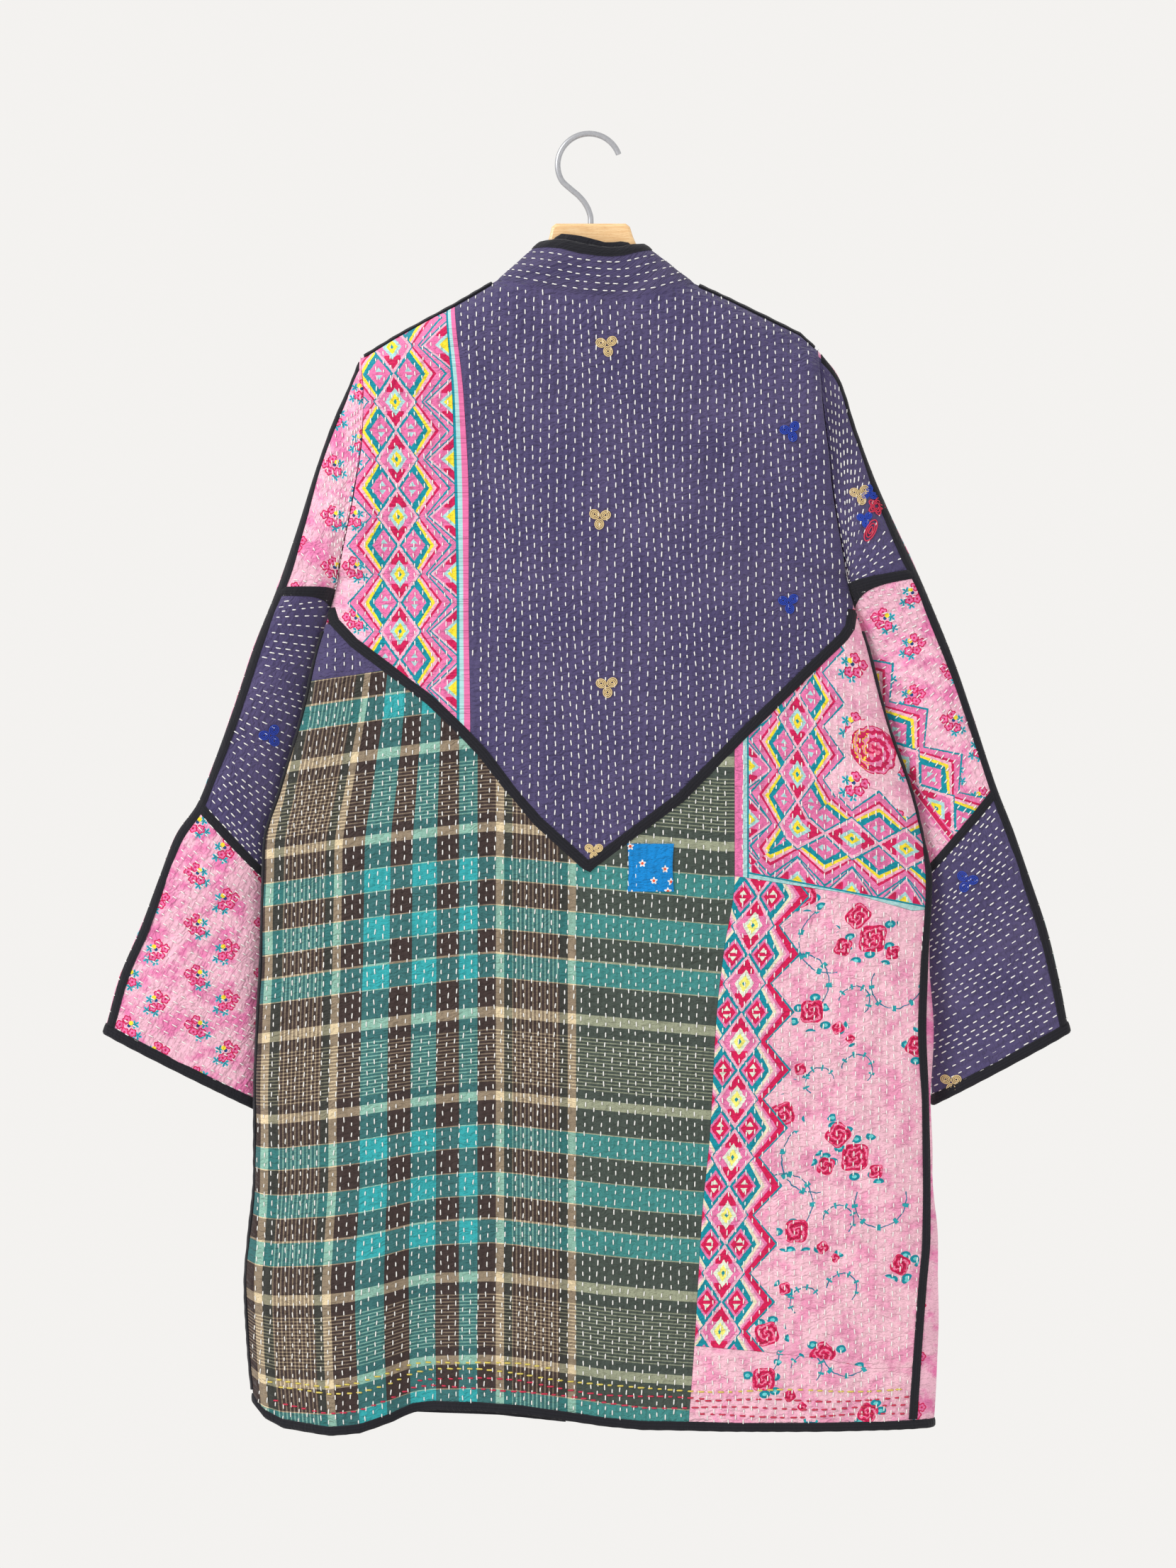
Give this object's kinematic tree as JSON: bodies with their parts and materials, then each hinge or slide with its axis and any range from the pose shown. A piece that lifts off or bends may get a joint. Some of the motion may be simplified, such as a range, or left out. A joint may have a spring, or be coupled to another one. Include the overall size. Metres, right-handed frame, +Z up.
{
  "type": "quilted coat on a hanger",
  "caption": "Long quilted patchwork coat with a stand collar and wide sleeves, on a wooden hanger with a wire hook.",
  "frame": {"origin": "inside the top of the hook, where it rests on what it hangs from", "axes": "-Y out of the coat's back, +X to the right as the back is seen, +Z up"},
  "size_m": [0.8214, 0.0779, 1.0977],
  "materials": {
    "diamond_print": "matte printed cotton with diamonds",
    "pink_print": "matte printed cotton with small flowers",
    "navy_cloth": "matte navy cotton with pale stitches",
    "check_cloth": "matte woven check",
    "blue_print": "matte bright blue cotton",
    "black_binding": "matte black cotton binding",
    "beech": "light wood, satin",
    "wire": "round steel wire"
  },
  "bodies": {
    "root": {"yoke_diamond": "diamond_print", "yoke_strip": "pink_print", "yoke_navy": "navy_cloth", "back_check": "check_cloth", "back_upper_print": "diamond_print", "back_lower_print": "pink_print", "back_hem_strip": "pink_print", "back_corner": "navy_cloth", "blue_patch": "blue_print", "front_left_upper": "diamond_print", "front_left_lower": "check_cloth", "front_right_upper": "navy_cloth", "front_right_lower": "pink_print", "sleeve_left_upper": "pink_print", "sleeve_left_middle": "navy_cloth", "sleeve_left_lower": "pink_print", "sleeve_right_upper": "navy_cloth", "sleeve_right_middle": "diamond_print", "sleeve_right_lower": "navy_cloth", "collar": "navy_cloth", "collar_binding": "black_binding", "collar_inner_edge": "black_binding", "yoke_binding": "black_binding", "shoulder_binding_left": "black_binding", "shoulder_binding_right": "black_binding", "hem_binding": "black_binding", "side_binding_left": "black_binding", "side_binding_right": "black_binding", "front_binding_left": "black_binding", "front_binding_right": "black_binding", "hanger_wood": "beech", "hanger_hook": "wire", "sleeve_left_upper_binding": "black_binding", "sleeve_left_lower_binding": "black_binding", "sleeve_left_cuff_binding": "black_binding", "sleeve_left_top_binding": "black_binding", "sleeve_right_upper_binding": "black_binding", "sleeve_right_lower_binding": "black_binding", "sleeve_right_cuff_binding": "black_binding", "sleeve_right_top_binding": "black_binding"}
  },
  "joints": []
}
